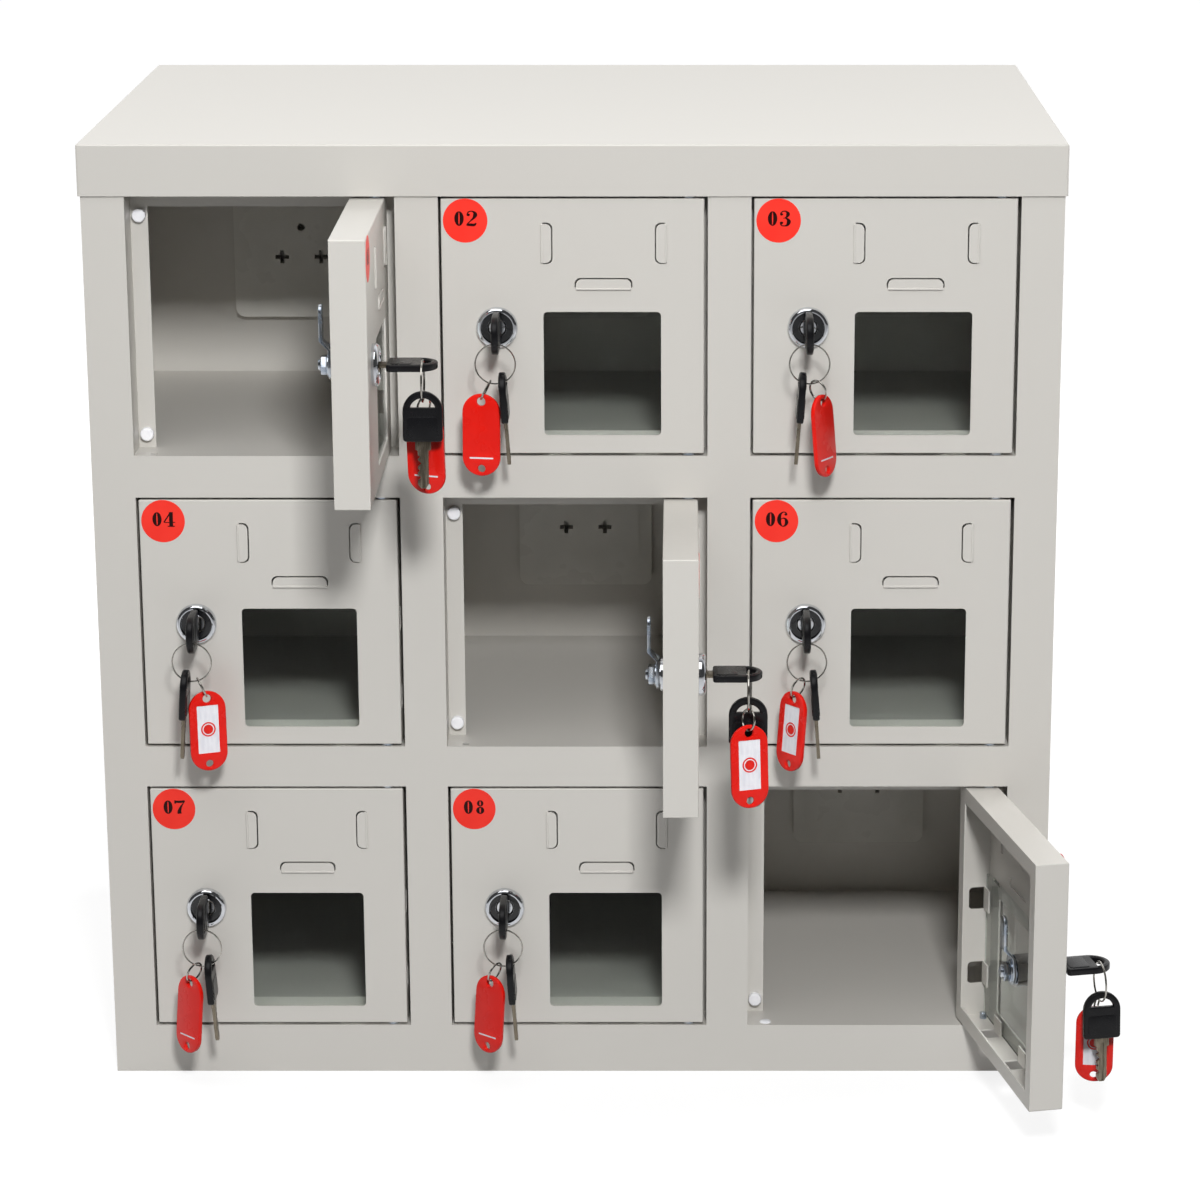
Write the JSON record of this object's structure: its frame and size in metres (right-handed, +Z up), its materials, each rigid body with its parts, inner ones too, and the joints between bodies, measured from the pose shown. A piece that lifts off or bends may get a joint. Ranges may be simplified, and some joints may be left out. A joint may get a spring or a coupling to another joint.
{
  "type": "phone charging locker",
  "caption": "Steel tabletop locker with small keyed, windowed doors on charging compartments, each with a cam lock, key and tag.",
  "frame": {"origin": "middle of the cabinet's flat underside, on the surface it stands on", "axes": "+Z up, doors face -Y, +X to the right of someone facing the doors"},
  "size_m": [0.6003, 0.4895, 0.569],
  "materials": {
    "powder_coat": "fine satin powder coat, warm light grey",
    "acrylic": "clear polished sheet",
    "chrome": "bright chrome plate",
    "zinc_steel": "bright zinc plate",
    "tag_plastic": "moulded, glossy red",
    "socket_white": "moulded, satin white",
    "duct_plastic": "extruded, matt grey",
    "inlet_plastic": "moulded, matt black",
    "buffer_rubber": "soft, pale grey"
  },
  "bodies": {
    "cabinet": {"top_cover": "powder_coat", "side_panel_left": "powder_coat", "side_panel_right": "powder_coat", "base_tray": "powder_coat", "shelf_upper": "powder_coat", "shelf_lower": "powder_coat", "header_rail": "powder_coat", "dividers": "powder_coat", "socket_panel": "powder_coat", "back_cover": "powder_coat", "charging_sockets": "socket_white", "socket_wiring": "duct_plastic", "power_inlet": "inlet_plastic", "hinge_pins": "zinc_steel", "door_buffers": "buffer_rubber"},
    "door_01": {"door_01": "powder_coat", "window_01": "acrylic", "lock_01": "chrome"},
    "cam_and_key_01": {"cam_and_key_01": "zinc_steel"},
    "key_ring_01": {"key_ring_01": "tag_plastic"},
    "door_02": {"door_02": "powder_coat", "window_02": "acrylic", "lock_02": "chrome"},
    "cam_and_key_02": {"cam_and_key_02": "zinc_steel"},
    "key_ring_02": {"key_ring_02": "tag_plastic"},
    "door_03": {"door_03": "powder_coat", "window_03": "acrylic", "lock_03": "chrome"},
    "cam_and_key_03": {"cam_and_key_03": "zinc_steel"},
    "key_ring_03": {"key_ring_03": "tag_plastic"},
    "door_04": {"door_04": "powder_coat", "window_04": "acrylic", "lock_04": "chrome"},
    "cam_and_key_04": {"cam_and_key_04": "zinc_steel"},
    "key_ring_04": {"key_ring_04": "tag_plastic"},
    "door_05": {"door_05": "powder_coat", "window_05": "acrylic", "lock_05": "chrome"},
    "cam_and_key_05": {"cam_and_key_05": "zinc_steel"},
    "key_ring_05": {"key_ring_05": "tag_plastic"},
    "door_06": {"door_06": "powder_coat", "window_06": "acrylic", "lock_06": "chrome"},
    "cam_and_key_06": {"cam_and_key_06": "zinc_steel"},
    "key_ring_06": {"key_ring_06": "tag_plastic"},
    "door_07": {"door_07": "powder_coat", "window_07": "acrylic", "lock_07": "chrome"},
    "cam_and_key_07": {"cam_and_key_07": "zinc_steel"},
    "key_ring_07": {"key_ring_07": "tag_plastic"},
    "door_08": {"door_08": "powder_coat", "window_08": "acrylic", "lock_08": "chrome"},
    "cam_and_key_08": {"cam_and_key_08": "zinc_steel"},
    "key_ring_08": {"key_ring_08": "tag_plastic"},
    "door_09": {"door_09": "powder_coat", "window_09": "acrylic", "lock_09": "chrome"},
    "cam_and_key_09": {"cam_and_key_09": "zinc_steel"},
    "key_ring_09": {"key_ring_09": "tag_plastic"}
  },
  "joints": [
    {"name": "door_01_hinge", "type": "hinge", "parent": "cabinet", "child": "door_01", "pos_m": [-0.1135, -0.1695, 0.4625], "axis": [0, 0, 1], "range_deg": [-90, 25]},
    {"name": "lock_01_turn", "type": "hinge", "parent": "door_01", "child": "cam_and_key_01", "pos_m": [-0.108, -0.2803, 0.4625], "axis": [1, 0, 0], "range_deg": [0, 90]},
    {"name": "key_ring_01_hang", "type": "hinge", "parent": "cam_and_key_01", "child": "key_ring_01", "pos_m": [-0.08, -0.28886, 0.4625], "axis": [1, 0, 0], "range_deg": [-90, 0]},
    {"name": "door_02_hinge", "type": "hinge", "parent": "cabinet", "child": "door_02", "pos_m": [0.0665, -0.1695, 0.4625], "axis": [0, 0, 1], "range_deg": [0, 115]},
    {"name": "lock_02_turn", "type": "hinge", "parent": "door_02", "child": "cam_and_key_02", "pos_m": [-0.0443, -0.175, 0.4625], "axis": [0, -1, 0], "range_deg": [0, 90]},
    {"name": "key_ring_02_hang", "type": "hinge", "parent": "cam_and_key_02", "child": "key_ring_02", "pos_m": [-0.0443, -0.203, 0.45394], "axis": [0, -1, 0], "range_deg": [-90, 0]},
    {"name": "door_03_hinge", "type": "hinge", "parent": "cabinet", "child": "door_03", "pos_m": [0.2465, -0.1695, 0.4625], "axis": [0, 0, 1], "range_deg": [0, 115]},
    {"name": "lock_03_turn", "type": "hinge", "parent": "door_03", "child": "cam_and_key_03", "pos_m": [0.1357, -0.175, 0.4625], "axis": [0, -1, 0], "range_deg": [0, 90]},
    {"name": "key_ring_03_hang", "type": "hinge", "parent": "cam_and_key_03", "child": "key_ring_03", "pos_m": [0.1357, -0.203, 0.45394], "axis": [0, -1, 0], "range_deg": [-90, 0]},
    {"name": "door_04_hinge", "type": "hinge", "parent": "cabinet", "child": "door_04", "pos_m": [-0.1135, -0.1695, 0.2845], "axis": [0, 0, 1], "range_deg": [0, 115]},
    {"name": "lock_04_turn", "type": "hinge", "parent": "door_04", "child": "cam_and_key_04", "pos_m": [-0.2243, -0.175, 0.2845], "axis": [0, -1, 0], "range_deg": [0, 90]},
    {"name": "key_ring_04_hang", "type": "hinge", "parent": "cam_and_key_04", "child": "key_ring_04", "pos_m": [-0.2243, -0.203, 0.27594], "axis": [0, -1, 0], "range_deg": [-90, 0]},
    {"name": "door_05_hinge", "type": "hinge", "parent": "cabinet", "child": "door_05", "pos_m": [0.0665, -0.1695, 0.2845], "axis": [0, 0, 1], "range_deg": [-90, 25]},
    {"name": "lock_05_turn", "type": "hinge", "parent": "door_05", "child": "cam_and_key_05", "pos_m": [0.072, -0.2803, 0.2845], "axis": [1, 0, 0], "range_deg": [0, 90]},
    {"name": "key_ring_05_hang", "type": "hinge", "parent": "cam_and_key_05", "child": "key_ring_05", "pos_m": [0.1, -0.28886, 0.2845], "axis": [1, 0, 0], "range_deg": [-90, 0]},
    {"name": "door_06_hinge", "type": "hinge", "parent": "cabinet", "child": "door_06", "pos_m": [0.2465, -0.1695, 0.2845], "axis": [0, 0, 1], "range_deg": [0, 115]},
    {"name": "lock_06_turn", "type": "hinge", "parent": "door_06", "child": "cam_and_key_06", "pos_m": [0.1357, -0.175, 0.2845], "axis": [0, -1, 0], "range_deg": [0, 90]},
    {"name": "key_ring_06_hang", "type": "hinge", "parent": "cam_and_key_06", "child": "key_ring_06", "pos_m": [0.1357, -0.203, 0.27594], "axis": [0, -1, 0], "range_deg": [-90, 0]},
    {"name": "door_07_hinge", "type": "hinge", "parent": "cabinet", "child": "door_07", "pos_m": [-0.1135, -0.1695, 0.1065], "axis": [0, 0, 1], "range_deg": [0, 115]},
    {"name": "lock_07_turn", "type": "hinge", "parent": "door_07", "child": "cam_and_key_07", "pos_m": [-0.2243, -0.175, 0.1065], "axis": [0, -1, 0], "range_deg": [0, 90]},
    {"name": "key_ring_07_hang", "type": "hinge", "parent": "cam_and_key_07", "child": "key_ring_07", "pos_m": [-0.2243, -0.203, 0.09794], "axis": [0, -1, 0], "range_deg": [-90, 0]},
    {"name": "door_08_hinge", "type": "hinge", "parent": "cabinet", "child": "door_08", "pos_m": [0.0665, -0.1695, 0.1065], "axis": [0, 0, 1], "range_deg": [0, 115]},
    {"name": "lock_08_turn", "type": "hinge", "parent": "door_08", "child": "cam_and_key_08", "pos_m": [-0.0443, -0.175, 0.1065], "axis": [0, -1, 0], "range_deg": [0, 90]},
    {"name": "key_ring_08_hang", "type": "hinge", "parent": "cam_and_key_08", "child": "key_ring_08", "pos_m": [-0.0443, -0.203, 0.09794], "axis": [0, -1, 0], "range_deg": [-90, 0]},
    {"name": "door_09_hinge", "type": "hinge", "parent": "cabinet", "child": "door_09", "pos_m": [0.2465, -0.1695, 0.1065], "axis": [0, 0, 1], "range_deg": [-102, 13]},
    {"name": "lock_09_turn", "type": "hinge", "parent": "door_09", "child": "cam_and_key_09", "pos_m": [0.27492, -0.27674, 0.1065], "axis": [0.9781, 0.2079, 0], "range_deg": [0, 90]},
    {"name": "key_ring_09_hang", "type": "hinge", "parent": "cam_and_key_09", "child": "key_ring_09", "pos_m": [0.30408, -0.27929, 0.1065], "axis": [0.9781, 0.2079, 0], "range_deg": [-90, 0]}
  ],
  "couplings": [
    {"joint": "key_ring_01_hang", "follows": "lock_01_turn", "ratio": -1},
    {"joint": "key_ring_02_hang", "follows": "lock_02_turn", "ratio": -1},
    {"joint": "key_ring_03_hang", "follows": "lock_03_turn", "ratio": -1},
    {"joint": "key_ring_04_hang", "follows": "lock_04_turn", "ratio": -1},
    {"joint": "key_ring_05_hang", "follows": "lock_05_turn", "ratio": -1},
    {"joint": "key_ring_06_hang", "follows": "lock_06_turn", "ratio": -1},
    {"joint": "key_ring_07_hang", "follows": "lock_07_turn", "ratio": -1},
    {"joint": "key_ring_08_hang", "follows": "lock_08_turn", "ratio": -1},
    {"joint": "key_ring_09_hang", "follows": "lock_09_turn", "ratio": -1}
  ]
}
